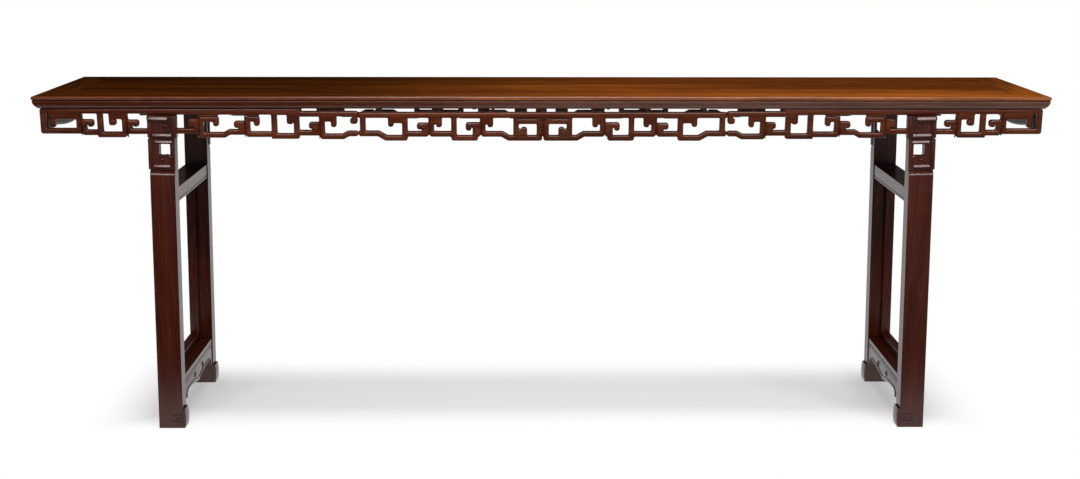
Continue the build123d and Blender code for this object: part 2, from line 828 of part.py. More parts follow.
# ------------------------------------------------------------------ trestle pieces, upright, left-hand
def upper_tenon():
    """Both tenons of the upper stretcher, as one bar through it."""
    border = stretcher_set_back + stretcher_tenon_border
    reach = leg_back + stretcher_tenon_length
    return block(leg_outer_x + border, leg_outer_x + leg_width - border, -reach, reach,
                 upper_stretcher_low + stretcher_tenon_border,
                 upper_stretcher_low + upper_stretcher_height - stretcher_tenon_border)


def lower_tenon():
    """Both tenons of the lower stretcher, as one bar through it."""
    border = stretcher_set_back + stretcher_tenon_border
    reach = leg_back + stretcher_tenon_length
    return block(leg_outer_x + border, leg_outer_x + leg_width - border, -reach, reach,
                 lower_stretcher_low + stretcher_tenon_border / 2,
                 lower_stretcher_low + lower_stretcher_height - stretcher_tenon_border / 2)


def stretcher(low, height, tenon):
    left = leg_outer_x + stretcher_set_back
    right = leg_outer_x + leg_width - stretcher_set_back
    body = block(left, right, -leg_back, leg_back, low, low + height)
    for side, face in ((-1, left), (1, right)):
        body -= block(face - bead_line, face + bead_line, -leg_back, leg_back,
                      low + bead_from_edge - bead_line, low + bead_from_edge)
    return body + tenon


def inner_frame():
    """The four mitred members: stiles front and back, rails below and above."""
    left = leg_outer_x + inner_frame_set_back
    right = left + inner_frame_width
    low = lower_stretcher_top
    high = upper_stretcher_low
    section = inner_frame_section
    outer = leg_back
    inner = leg_back - section
    inner_low = low + section
    inner_high = high - section
    stile = prism_x([(-outer, low), (-inner, inner_low), (-inner, inner_high), (-outer, high)], left, right)
    bottom = prism_x([(-outer, low), (outer, low), (inner, inner_low), (-inner, inner_low)], left, right)
    top = prism_x([(-outer, high), (-inner, inner_high), (inner, inner_high), (outer, high)], left, right)
    return {"inner_frame_stile_front": stile, "inner_frame_stile_back": mirror_y(stile),
            "inner_frame_rail_low": bottom, "inner_frame_rail_high": top}


def low_apron(left):
    """Apron under the lower stretcher: brackets at the legs, two arches and a pendant between."""
    reach = leg_back
    bracket = reach - low_apron_end_length
    arch = bracket - low_apron_curve_length
    end = low_apron_end_height
    crown = low_apron_arch_height
    pendant = low_apron_pendant_height
    mid_z = (crown + pendant) / 2
    side = [
        Line((reach, low_apron_top), (reach, end)),
        Line((reach, end), (bracket, end)),
        ThreePointArc((bracket, end), (bracket - low_apron_curve_length * 0.3, end + (crown - end) * 0.7),
                      (arch, crown)),
        ThreePointArc((arch, crown), (arch / 2, mid_z + (crown - pendant) * 0.2), (0, pendant)),
        Line((0, pendant), (0, low_apron_top)),
        Line((0, low_apron_top), (reach, low_apron_top)),
    ]
    half = extrude(Plane.YZ.offset(left) * make_face(side), amount=low_apron_thickness)
    return half + mirror_y(half)


def low_aprons():
    outer = leg_outer_x + stretcher_set_back
    inner = leg_outer_x + leg_width - stretcher_set_back - low_apron_thickness
    return {"low_apron_outer": low_apron(outer), "low_apron_inner": low_apron(inner)}


def trestle():
    """Upright pieces of the left trestle, apart from its legs."""
    pieces = {"upper_stretcher": stretcher(upper_stretcher_low, upper_stretcher_height, upper_tenon()),
              "lower_stretcher": stretcher(lower_stretcher_low, lower_stretcher_height, lower_tenon())}
    pieces.update(inner_frame())
    pieces.update(low_aprons())
    return pieces


# ------------------------------------------------------------------ write every piece
def save_top():
    front = long_member()
    save(front, "top_member_front")
    save(mirror_y(front), "top_member_back")
    end = end_member()
    save(end, "top_member_left")
    save(mirror_x(end), "top_member_right")
    board_front, board_back = boards()
    save(board_front, "top_board_front")
    save(board_back, "top_board_back")
    save(board_spline(), "top_board_spline")
    for number, place in enumerate(brace_places(), start=1):
        save(brace(place), f"top_brace_{number}")


def save_aprons():
    side = side_apron()
    centre = centre_apron()
    save(mirror_x(side), "front_apron_left")
    save(centre, "front_apron_centre")
    save(side, "front_apron_right")
    save(mirror_y(mirror_x(side)), "back_apron_left")
    save(mirror_y(centre), "back_apron_centre")
    save(mirror_y(side), "back_apron_right")
    end = end_apron()
    save(mirror_x(end), "end_apron_left")
    save(end, "end_apron_right")
    front_pegs = Compound(children=pegs())
    save(front_pegs, "front_apron_pegs")
    save(Compound(children=[mirror_y(one) for one in pegs()]), "back_apron_pegs")


def save_trestles():
    leg = finished_front_left_leg()
    save(leg, "leg_front_left")
    save(mirror_y(leg), "leg_back_left")
    save(mirror_x(leg), "leg_front_right")
    save(mirror_y(mirror_x(leg)), "leg_back_right")
    for name, piece in trestle().items():
        leaning = lean(piece)
        save(leaning, f"{name}_left")
        save(mirror_x(leaning), f"{name}_right")


save_top()
save_aprons()
save_trestles()
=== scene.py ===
import math

import bmesh
import bpy
import numpy as np
from mathutils import Matrix, Vector
from mathutils.geometry import delaunay_2d_cdt


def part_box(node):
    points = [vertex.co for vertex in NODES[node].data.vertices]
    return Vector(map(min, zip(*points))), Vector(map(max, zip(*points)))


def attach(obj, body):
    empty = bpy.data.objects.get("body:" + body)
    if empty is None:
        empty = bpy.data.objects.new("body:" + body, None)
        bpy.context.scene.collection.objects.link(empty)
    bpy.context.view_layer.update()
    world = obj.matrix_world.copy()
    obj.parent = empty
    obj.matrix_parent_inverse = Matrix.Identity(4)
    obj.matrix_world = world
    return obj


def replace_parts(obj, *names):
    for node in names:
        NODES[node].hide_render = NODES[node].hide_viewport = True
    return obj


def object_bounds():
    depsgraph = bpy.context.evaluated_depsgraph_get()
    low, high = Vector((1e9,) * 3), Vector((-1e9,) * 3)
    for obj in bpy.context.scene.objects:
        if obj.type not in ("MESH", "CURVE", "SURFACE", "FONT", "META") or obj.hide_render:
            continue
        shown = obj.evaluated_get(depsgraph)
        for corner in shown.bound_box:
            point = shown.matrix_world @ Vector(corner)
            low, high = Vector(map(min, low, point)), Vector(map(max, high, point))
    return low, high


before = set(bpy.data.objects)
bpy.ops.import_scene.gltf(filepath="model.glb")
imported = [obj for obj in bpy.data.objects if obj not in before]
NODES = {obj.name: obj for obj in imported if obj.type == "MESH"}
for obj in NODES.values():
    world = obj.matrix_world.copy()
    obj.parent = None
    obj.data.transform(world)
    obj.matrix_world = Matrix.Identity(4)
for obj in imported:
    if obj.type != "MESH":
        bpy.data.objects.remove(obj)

CAD_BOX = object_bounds()

# ---------------------------------------------------------------- sizes, in metres
MERGE = 0.00001                 # points this close are one point
ON_PLANE = 0.0002               # a face this near a plane lies in it

# fret
APRON_FACE = 0.211              # distance of its outer face from the middle of the table
APRON_THICKNESS = 0.018
RAIL_HEIGHT = 0.018             # the rail of an apron lies within this of its top
FILLER_RECESS = 0.003           # fillers of the fret lie this far behind its face
FILLER_ROUND = 0.0008           # and are moulded over this width
FILLER_CROWN = 0.0006           # by this much
FRET_ROUND = 0.0068             # the bars are moulded over this width from each edge
FRET_CROWN = 0.0046             # and fall back by this at the edge
OUTER_CORNER = 0.0070           # rounding of outer corners of the fret, and of its windows
WINDOW_CORNER = 0.003
NOTCH = 0.0045                  # the filler ends this far above the foot of a line between two curls
LINE_WIDTH = 0.003              # a filler narrower than this lies in such a line
INTO_HEAD = 0.004               # bars run this far into the leg heads
HEAD_REACH = 0.010              # a bar that ends this near a head runs into it
CORNER_SHARE = 0.96             # the roundings of two corners take at most this share of their line
CORNER_STEPS = 6
MOULD_RINGS = 4
BATCH = 400                     # points measured at once

# legs
LEG_OUTER_X = 1.039             # outer face of a leg at the height of the top
TABLE_HEIGHT = 0.925
LEG_SPLAY = 0.023
LEG_WIDTH = 0.066
LEG_BEVEL = 0.0025
FRAME_BEVEL = 0.002             # of stretchers and inner frames
SHOULDER_LOW = 0.7128
SHOULDER_HIGH = 0.7262

# boards across the table; a low apron's faces are measured from the outer side of the upright leg
BOARD_ROUND = 0.005
BOARD_CROWN = 0.003
LOW_APRONS = (("inner", 0.064, 0.050, 1), ("outer", 0.002, 0.016, -1))
END_APRON_FACE = 1.326
END_APRON_BACK = 1.310
BEAD = 0.0022, 0.0018           # half width and height of the bead of a low apron
SCROLL = 0.0021, 0.0020         # and of its scrolls
SCROLL_PLACE = 0.046, 0.1020    # middle of a scroll, from the middle of the apron and above the floor
SCROLL_OUTER = 0.0090
SCROLL_INNER = 0.0028
SCROLL_TURNS = 1.3

# edge of the top
TOP_FLAT = 0.99                 # faces this upright are its flat surface
NOSE_LOW = 0.9160               # the nose, orange with its painted highlight, ends here; the darker moulding with its painted sheen runs on below
GROOVE_LOW = 0.9122             # a groove parts them
GROOVE_RISE = 0.0005            # and reaches its depth within this height
GROOVE_DEPTH = 0.0046           # behind the edge of the top, at its front and back
GROOVE_END_DEPTH = 0.0016       # at its ends


# ---------------------------------------------------------------- camera
CAMERA_PLACE = (-0.0406, -3.8829, 1.4040)
CAMERA_TILT = -0.2318
CAMERA_PAN = -0.0092
CAMERA_ROLL = 0.0019
CAMERA_LENS = 46.65


def make_camera():
    t, p, r = CAMERA_TILT, CAMERA_PAN, CAMERA_ROLL
    rx = Matrix(((1, 0, 0), (0, math.cos(t), math.sin(t)), (0, -math.sin(t), math.cos(t))))
    rz = Matrix(((math.cos(p), math.sin(p), 0), (-math.sin(p), math.cos(p), 0), (0, 0, 1)))
    ry = Matrix(((math.cos(r), 0, math.sin(r)), (0, 1, 0), (-math.sin(r), 0, math.cos(r))))
    rows = ry @ rx @ rz
    right, forward, up = rows[0], rows[1], rows[2]
    data = bpy.data.cameras.new("camera")
    data.sensor_fit = "HORIZONTAL"
    data.sensor_width = 36
    data.lens = CAMERA_LENS
    data.clip_end = 100
    cam = bpy.data.objects.new("camera", data)
    axes = Matrix((right, up, -forward)).transposed().to_4x4()
    axes.translation = Vector(CAMERA_PLACE)
    cam.matrix_world = axes
    bpy.context.scene.collection.objects.link(cam)
    bpy.context.scene.camera = cam


# ---------------------------------------------------------------- materials
def srgb(r, g, b):
    out = []
    for v in (r, g, b):
        v /= 255
        out.append(v / 12.92 if v <= 0.04045 else ((v + 0.055) / 1.055) ** 2.4)
    return (*out, 1)


class Graph:
    """A small helper to write node trees briefly."""

    def __init__(self, tree):
        self.tree = tree
        tree.nodes.clear()

    def node(self, kind, **values):
        n = self.tree.nodes.new(kind)
        for key, value in values.items():
            if key in n.inputs:
                n.inputs[key].default_value = value
            else:
                setattr(n, key, value)
        return n

    def link(self, a, b):
        self.tree.links.new(a, b)

    def put(self, socket, value):
        if isinstance(value, (int, float, tuple)):
            socket.default_value = value
        else:
            self.link(value, socket)

    def math(self, op, a, b=0.0, clamp=False):
        n = self.node("ShaderNodeMath", operation=op, use_clamp=clamp)
        self.put(n.inputs[0], a)
        self.put(n.inputs[1], b)
        return n.outputs[0]

    def step(self, value, start, end, low=0.0, high=1.0):
        """A smooth step of value from low at start to high at end."""
        n = self.node("ShaderNodeMapRange", interpolation_type="SMOOTHSTEP")
        self.link(value, n.inputs["Value"])
        ends = ((start, low), (end, high))
        for (at, out), side in zip(ends if start < end else ends[::-1], ("Min", "Max")):
            n.inputs["From " + side].default_value = at
            n.inputs["To " + side].default_value = out
        return n.outputs[0]

    def ramp(self, fac, stops):
        n = self.node("ShaderNodeValToRGB")
        els = n.color_ramp.elements
        while len(els) < len(stops):
            els.new(0.5)
        for el, (pos, colour) in zip(els, stops):
            el.position = pos
            el.color = colour
        self.link(fac, n.inputs[0])
        return n.outputs[0]

    def mix(self, fac, a, b, blend="MIX"):
        n = self.node("ShaderNodeMix", data_type="RGBA", blend_type=blend)
        self.put(n.inputs[0], fac)
        self.put(n.inputs[6], a)
        self.put(n.inputs[7], b)
        return n.outputs[2]

    def mix_shader(self, fac, a, b):
        n = self.node("ShaderNodeMixShader")
        self.put(n.inputs[0], fac)
        self.link(a, n.inputs[1])
        self.link(b, n.inputs[2])
        return n.outputs[0]

    def emission(self, strength):
        n = self.node("ShaderNodeEmission", Color=(1, 1, 1, 1))
        self.put(n.inputs["Strength"], strength)
        return n.outputs[0]


def new_material(name):
    mat = bpy.data.materials.new(name)
    mat.use_nodes = True
    return mat, Graph(mat.node_tree)


GRAIN_SCALE = 0.06              # along the grain the pattern is this much coarser
ALONG_PAINTED_SHADE = -0.66, 0.25        # painted shade: the colour changes between these places along the table
ACROSS_PAINTED_LIGHT = -0.24, 0.2, 1.35, 0.8     # and painted light between these two, front to back, by these factors, lighter at the front
CREVICE_SHADE_REACH = 0.012                 # reach of the painted shade in corners and crevices


def wood(name, along, dark, mid, light, rough=0.26, seed=0.0, gloss=0.5, painted_light=None):
    """Polished rosewood: pores and streaks run along one axis, 0 X, 1 Y or 2 Z."""
    mat, g = new_material(name)
    coords = g.node("ShaderNodeTexCoord")
    mapping = g.node("ShaderNodeMapping")
    scale = [1.0, 1.0, 1.0]
    scale[along] = GRAIN_SCALE
    mapping.inputs["Scale"].default_value = scale
    mapping.inputs["Location"].default_value = (seed, seed * 1.7, seed * 0.6)
    g.link(coords.outputs["Object"], mapping.inputs["Vector"])

    def noise(size, detail, rough_, distort=0.0):
        n = g.node("ShaderNodeTexNoise", Scale=size, Detail=detail, Roughness=rough_, Distortion=distort)
        g.link(mapping.outputs[0], n.inputs["Vector"])
        return n.outputs[0]

    broad = noise(8.0, 3.0, 0.5, 0.5)
    figure = noise(48.0, 6.0, 0.62, 1.4)
    pores = noise(420.0, 2.0, 0.6)
    grain = g.math("ADD", g.math("MULTIPLY", broad, 0.5), g.math("MULTIPLY", figure, 0.5))
    colour = g.ramp(grain, [(0.36, dark), (0.5, mid), (0.64, light)])
    pore_mask = g.ramp(pores, [(0.36, (0.3, 0.25, 0.25, 1)), (0.46, (1, 1, 1, 1))])
    colour = g.mix(0.35, colour, pore_mask, "MULTIPLY")
    # painted light and shade: darker towards one end of the table, lighter at the front than at the back
    if painted_light:
        place = g.node("ShaderNodeSeparateXYZ")
        g.link(coords.outputs["Object"], place.inputs[0])
        shade_along_table = g.mix(g.step(place.outputs[0], *ALONG_PAINTED_SHADE), *painted_light)
        light_across_table = g.step(place.outputs[1], *ACROSS_PAINTED_LIGHT)
        colour = g.mix(1.0, colour, g.mix(1.0, shade_along_table, light_across_table, "MULTIPLY"), "MULTIPLY")
    # painted shade: ambient occlusion darkens the colour in corners, crevices and between parts
    occlusion = g.node("ShaderNodeAmbientOcclusion", samples=6, only_local=False)
    occlusion.inputs["Distance"].default_value = CREVICE_SHADE_REACH
    painted_crevice_shade = g.ramp(occlusion.outputs["AO"], [(0.25, (0.22, 0.17, 0.16, 1)), (0.8, (1, 1, 1, 1))])
    colour = g.mix(0.8, colour, painted_crevice_shade, "MULTIPLY")
    bsdf = g.node("ShaderNodeBsdfPrincipled")
    bsdf.inputs["Specular IOR Level"].default_value = gloss
    g.link(colour, bsdf.inputs["Base Color"])
    g.link(g.math("ADD", g.math("MULTIPLY", figure, 0.14), rough - 0.07), bsdf.inputs["Roughness"])
    bump = g.node("ShaderNodeBump", Strength=0.08, Distance=0.0004)
    g.link(pores, bump.inputs["Height"])
    g.link(bump.outputs[0], bsdf.inputs["Normal"])
    out = g.node("ShaderNodeOutputMaterial")
    g.link(bsdf.outputs[0], out.inputs[0])
    return mat


DARK, MID, LIGHT = srgb(46, 12, 2), srgb(62, 18, 4), srgb(80, 28, 9)
FRET_DARK, FRET_MID, FRET_LIGHT = srgb(58, 21, 7), srgb(86, 36, 13), srgb(112, 53, 21)
TOP_DARK, TOP_MID, TOP_LIGHT = srgb(60, 27, 8), srgb(92, 46, 14), srgb(124, 67, 22)
# the nose is lighter and more orange than the top: painted highlight
NOSE_HIGHLIGHT_DARK, NOSE_HIGHLIGHT_MID, NOSE_HIGHLIGHT_LIGHT = srgb(74, 30, 8), srgb(112, 56, 16), srgb(150, 82, 28)
# the lower moulding is purple-grey: painted sheen of the white floor
BELLY_SHEEN_DARK, BELLY_SHEEN_MID, BELLY_SHEEN_LIGHT = srgb(62, 36, 26), srgb(78, 48, 37), srgb(94, 60, 48)
# painted light and shade at the left and at the right of the table: the top and its mouldings are darker
# and redder to the left, and the lower moulding loses its painted sheen there; the fret is darker to the
# right
TOP_PAINTED_SHADE = (0.27, 0.26, 0.30, 1), (0.84, 0.84, 0.84, 1)
NOSE_PAINTED_SHADE = (0.50, 0.40, 0.53, 1), (0.68, 0.68, 0.68, 1)
BELLY_PAINTED_SHADE = (0.70, 0.28, 0.05, 1), (0.95, 0.95, 0.95, 1)
FRET_PAINTED_SHADE = (0.80, 0.74, 0.72, 1), (0.50, 0.48, 0.42, 1)
# every wood gets painted shade in its crevices; the top, its mouldings and the fret also get painted light
# and shade along and across the table
WOODS = {
    "top_long": wood("hongmu_top_long", 0, TOP_DARK, TOP_MID, TOP_LIGHT, gloss=0.0, painted_light=TOP_PAINTED_SHADE),
    "top_end": wood("hongmu_top_end", 1, TOP_DARK, TOP_MID, TOP_LIGHT, gloss=0.0, painted_light=TOP_PAINTED_SHADE),
    "board": wood("hongmu_board", 0, TOP_DARK, TOP_MID, TOP_LIGHT, seed=3.1, gloss=0.0, painted_light=TOP_PAINTED_SHADE),
    "nose": wood("hongmu_nose_painted_highlight", 0, NOSE_HIGHLIGHT_DARK, NOSE_HIGHLIGHT_MID, NOSE_HIGHLIGHT_LIGHT, painted_light=NOSE_PAINTED_SHADE),
    "belly": wood("hongmu_belly_painted_sheen", 0, BELLY_SHEEN_DARK, BELLY_SHEEN_MID, BELLY_SHEEN_LIGHT, painted_light=BELLY_PAINTED_SHADE),
    "fret": wood("hongmu_fret", 0, FRET_DARK, FRET_MID, FRET_LIGHT, gloss=0.35, painted_light=FRET_PAINTED_SHADE),
    "leg": wood("hongmu_leg", 2, DARK, MID, LIGHT),
    "cross": wood("hongmu_cross", 1, DARK, MID, LIGHT),
    "end": wood("hongmu_end", 1, DARK, MID, LIGHT, gloss=0.15),
}


def dress(obj, material):
    obj.data.materials.clear()
    obj.data.materials.append(material)


def node_wood(name):
    if name in ("top_member_front", "top_member_back"):
        return WOODS["top_long"]
    if name.startswith("top_member"):
        return WOODS["top_end"]
    if name.startswith("top_board"):
        return WOODS["board"]
    if name.startswith(("front_apron", "back_apron")):
        return WOODS["fret"]
    if name.startswith(("leg", "inner_frame_stile")):
        return WOODS["leg"]
    return WOODS["cross"]


def bevel(obj, width, segments):
    """Soften the edges of a CAD node without touching its mesh."""
    weld = obj.modifiers.new("weld", "WELD")
    weld.merge_threshold = 2 * MERGE
    flat = obj.modifiers.new("planar", "DECIMATE")
    flat.decimate_type = "DISSOLVE"
    flat.angle_limit = math.radians(2)
    b = obj.modifiers.new("bevel", "BEVEL")
    b.width = width
    b.segments = segments
    b.limit_method = "ANGLE"
    b.angle_limit = math.radians(35)
    b.use_clamp_overlap = True


def add_piece(name, mesh, material):
    piece = bpy.data.objects.new(name, mesh)
    bpy.context.scene.collection.objects.link(piece)
    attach(piece, "root")
    dress(piece, material)
    return piece


def finish_mesh(bm, name, sharp=42):
    bmesh.ops.remove_doubles(bm, verts=bm.verts, dist=MERGE)
    bmesh.ops.dissolve_degenerate(bm, edges=bm.edges, dist=MERGE / 10)
    mesh = bpy.data.meshes.new(name)
    bm.to_mesh(mesh)
    bm.free()
    mesh.shade_smooth()
    mesh.set_sharp_from_angle(angle=math.radians(sharp))
    return mesh


# ---------------------------------------------------------------- pierced and moulded boards
def plane_loops(mesh, y):
    """Outlines, as (x, z) points, of the faces of a mesh that lie at one y."""
    bm = bmesh.new()
    bm.from_mesh(mesh)
    bmesh.ops.remove_doubles(bm, verts=bm.verts, dist=MERGE)
    # a dict keeps the order of the mesh, so that every run gives the same outlines
    inside = dict.fromkeys(f for f in bm.faces if abs(f.normal.y) > 0.999
                           and abs(f.calc_center_median().y - y) < ON_PLANE)
    after = {}
    for face in inside:
        for corner in face.loops:
            if not any(f in inside for f in corner.edge.link_faces if f is not face):
                after.setdefault(corner.vert, []).append(corner.link_loop_next.vert)
    outlines = []
    while after:
        vert = next(iter(after))
        outline = []
        while vert in after:
            outline.append((vert.co.x, vert.co.z))
            following = after[vert]
            nxt = following.pop()
            if not following:
                del after[vert]
            vert = nxt
        outlines.append(outline)
    bm.free()
    return [without_straight_points(o) for o in outlines if len(o) > 2]


def without_straight_points(points):
    kept = []
    for i, point in enumerate(points):
        before = Vector(points[i - 1])
        here = Vector(point)
        beyond = Vector(points[(i + 1) % len(points)])
        a, b = here - before, beyond - here
        if a.length > MERGE and abs(a.x * b.y - a.y * b.x) > 0.001 * a.length * b.length:
            kept.append(point)
    return kept


def rounded(points, outer, window):
    """The outline, with the wood on its left, with outer and window corners rounded."""
    count = len(points)
    corners = []
    for i in range(count):
        before, here, beyond = (Vector(points[j % count]) for j in (i - 1, i, i + 1))
        a, b = (here - before).normalized(), (beyond - here).normalized()
        turn = math.atan2(a.x * b.y - a.y * b.x, a.dot(b))
        reach = (outer if turn > 0 else window) * math.tan(abs(turn) / 2)
        corners.append([here, a, turn, reach])
    for i in range(count):
        nxt = corners[(i + 1) % count]
        length = (nxt[0] - corners[i][0]).length
        total = corners[i][3] + nxt[3]
        if total > CORNER_SHARE * length:
            share = CORNER_SHARE * length / total
            corners[i][3] *= share
            nxt[3] *= share
    path = []
    for here, a, turn, reach in corners:
        radius = reach / math.tan(abs(turn) / 2)
        steps = max(1, round(CORNER_STEPS * abs(turn) / (math.pi / 2)))
        side = Vector((-a.y, a.x)) if turn > 0 else Vector((a.y, -a.x))
        centre = here - a * reach + side * radius
        arm = here - a * reach - centre
        for k in range(steps + 1):
            c, s = math.cos(turn * k / steps), math.sin(turn * k / steps)
            path.append((centre.x + arm.x * c - arm.y * s, centre.y + arm.x * s + arm.y * c))
    return path


def edge_distance(points, starts, ends):
    """Distance of each point from the nearest of the edges."""
    along = ends - starts
    length2 = np.maximum((along ** 2).sum(1), 1e-18)
    nearest = np.empty(len(points))
    for i in range(0, len(points), BATCH):
        p = points[i:i + BATCH, None, :]
        t = np.clip(((p - starts) * along).sum(2) / length2, 0, 1)
        gap = p - starts - t[:, :, None] * along
        nearest[i:i + BATCH] = np.sqrt((gap ** 2).sum(2).min(1))
    return nearest


def inside_outlines(points, starts, ends):
    """Which points lie within the outlines, by the even-odd rule."""
    result = np.empty(len(points), bool)
    for i in range(0, len(points), BATCH):
        p = points[i:i + BATCH]
        x, z = p[:, 0, None], p[:, 1, None]
        crossing = (starts[:, 1] > z) != (ends[:, 1] > z)
        rise = np.where(ends[:, 1] == starts[:, 1], 1.0, ends[:, 1] - starts[:, 1])
        at = starts[:, 0] + (z - starts[:, 1]) * (ends[:, 0] - starts[:, 0]) / rise
        result[i:i + BATCH] = (crossing & (x < at)).sum(1) % 2 == 1
    return result


def signed_area(points):
    return sum(a[0] * b[1] - a[1] * b[0] for a, b in zip(points, points[1:] + points[:1])) / 2


def wood_on_left(outlines):
    """The outlines, turned together so that the largest runs anticlockwise."""
    if signed_area(max(outlines, key=lambda o: abs(signed_area(o)))) > 0:
        return outlines
    return [o[::-1] for o in outlines]


def moulded_board(name, outlines, y_middle, thickness, round_width, crown, place=Matrix()):
    """A board over outlines in X and Z whose faces curve back by crown towards every edge."""
    rims = [np.array(o) for o in outlines]
    starts = np.vstack(rims)
    ends = np.vstack([np.roll(r, -1, axis=0) for r in rims])
    points = [Vector(p) for p in starts]
    edges = []
    base = 0
    for rim in rims:
        edges += [(base + i, base + (i + 1) % len(rim)) for i in range(len(rim))]
        base += len(rim)
    for k in range(1, MOULD_RINGS + 1):
        distance = round_width * (1 - math.cos(math.pi / 2 * k / MOULD_RINGS))
        for rim in rims:
            forward = np.roll(rim, -1, axis=0) - rim
            forward /= np.maximum(np.linalg.norm(forward, axis=1), 1e-12)[:, None]
            normal = np.stack((-forward[:, 1], forward[:, 0]), 1)
            before = np.roll(normal, 1, axis=0)
            mitre = (normal + before) / np.maximum(1 + (normal * before).sum(1), 0.3)[:, None]
            ring = rim + mitre * distance
            middles = (ring + np.roll(ring, -1, axis=0)) / 2
            fair = edge_distance(np.vstack((ring, middles)), starts, ends) > 0.985 * distance
            index = {}
            for i in range(len(ring)):
                if fair[i]:
                    index[i] = len(points)
                    points.append(Vector(ring[i]))
            for i in range(len(ring)):
                j = (i + 1) % len(ring)
                if i in index and j in index and fair[len(ring) + i]:
                    edges.append((index[i], index[j]))
    verts, edges, faces, *unused = delaunay_2d_cdt(points, edges, [], 0, MERGE, False)
    flat = np.array([tuple(v) for v in verts])
    faces = np.array(faces)
    faces = faces[inside_outlines(flat[faces].mean(1), starts, ends)]
    share = np.minimum(edge_distance(flat, starts, ends) / round_width, 1)
    height = thickness / 2 - crown * (1 - np.sqrt(np.maximum(1 - (1 - share) ** 2, 0)))
    used = set(faces.ravel().tolist())
    bm = bmesh.new()
    sides = []
    for side in (-1, 1):
        sides.append({i: bm.verts.new((flat[i][0], y_middle + side * height[i], flat[i][1])) for i in used})
    rim_edges = {}
    for a, b, c in faces.tolist():
        bm.faces.new([sides[0][v] for v in (a, b, c)])
        bm.faces.new([sides[1][v] for v in (c, b, a)])
        for pair in ((a, b), (b, c), (c, a)):
            if pair[::-1] in rim_edges:
                del rim_edges[pair[::-1]]
            else:
                rim_edges[pair] = True
    for a, b in rim_edges:
        bm.faces.new((sides[0][b], sides[0][a], sides[1][a], sides[1][b]))
    bmesh.ops.transform(bm, matrix=place, verts=bm.verts)
    bmesh.ops.recalc_face_normals(bm, faces=bm.faces)
    return finish_mesh(bm, name)


def into_heads(outline, heads, rail_low):
    """Let the ends of bars that meet a leg head run a little into it."""
    moved = []
    for x, z in outline:
        for low, high in heads:
            if z < rail_low and abs(x - low) < HEAD_REACH:
                x = low + INTO_HEAD
            elif z < rail_low and abs(x - high) < HEAD_REACH:
                x = high - INTO_HEAD
        moved.append((x, z))
    return moved


def lift_line_feet(outline):
    """End the filler of a narrow line between two curls above their rounded corners."""
    low = min(z for x, z in outline)
    foot = [x for x, z in outline if z < low + NOTCH]
    if max(foot) - min(foot) > LINE_WIDTH:
        return outline
    return [(x, z + NOTCH) if z < low + NOTCH else (x, z) for x, z in outline]


def head_spans():
    """Widths of the two front leg heads, where the bars of the fret meet them."""
    low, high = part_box("front_apron_left")[0][2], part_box("front_apron_left")[1][2]
    level = (low + high) / 2
    spans = []
    for name in ("leg_front_left", "leg_front_right"):
        xs = [v.co.x for v in NODES[name].data.vertices if low - 0.01 < v.co.z < level + 0.02]
        spans.append((min(xs), max(xs)))
    return spans


def fret(name, heads):
    """Moulded stand-in for an apron section, and the recessed fillers between its curls."""
    side = -1 if name.startswith("front") else 1
    node = NODES[name]
    rail_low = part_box(name)[1][2] - RAIL_HEIGHT
    face = side * APRON_FACE
    middle = face - side * APRON_THICKNESS / 2
    outlines = []
    for outline in wood_on_left(plane_loops(node.data, face)):
        outline = into_heads(outline, heads, rail_low)
        outlines.append(rounded(outline, OUTER_CORNER, WINDOW_CORNER))
    mesh = moulded_board(name + "_carved", outlines, middle, APRON_THICKNESS, FRET_ROUND, FRET_CROWN)
    piece = add_piece(name + "_carved", mesh, WOODS["fret"])
    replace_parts(piece, name)
    fillers = plane_loops(node.data, face - side * FILLER_RECESS)
    if fillers:
        fillers = [lift_line_feet(o) for o in wood_on_left(fillers)]
        mesh = moulded_board(name + "_fillers", fillers, middle, APRON_THICKNESS - 2 * FILLER_RECESS,
                             FILLER_ROUND, FILLER_CROWN)
        add_piece(name + "_fillers", mesh, WOODS["fret"])


SWAP_XY = Matrix(((0, 1, 0, 0), (1, 0, 0, 0), (0, 0, 1, 0), (0, 0, 0, 1)))


def cross_board(name, place, face, far_face):
    """Moulded stand-in for a board across the table; place leads from its flat view, where
    its thickness runs along Y between two faces, to the table."""
    node = NODES[name]
    mesh = node.data.copy()
    mesh.transform(place.inverted())
    outlines = wood_on_left(plane_loops(mesh, face))
    bpy.data.meshes.remove(mesh)
    mesh = moulded_board(name + "_carved", outlines, (face + far_face) / 2, abs(face - far_face),
                         BOARD_ROUND, BOARD_CROWN, place)
    slot, finish = ("end_apron", "end") if name.startswith("end") else ("trestle", "cross")
    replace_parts(add_piece(name + "_carved", mesh, WOODS[finish]), name)


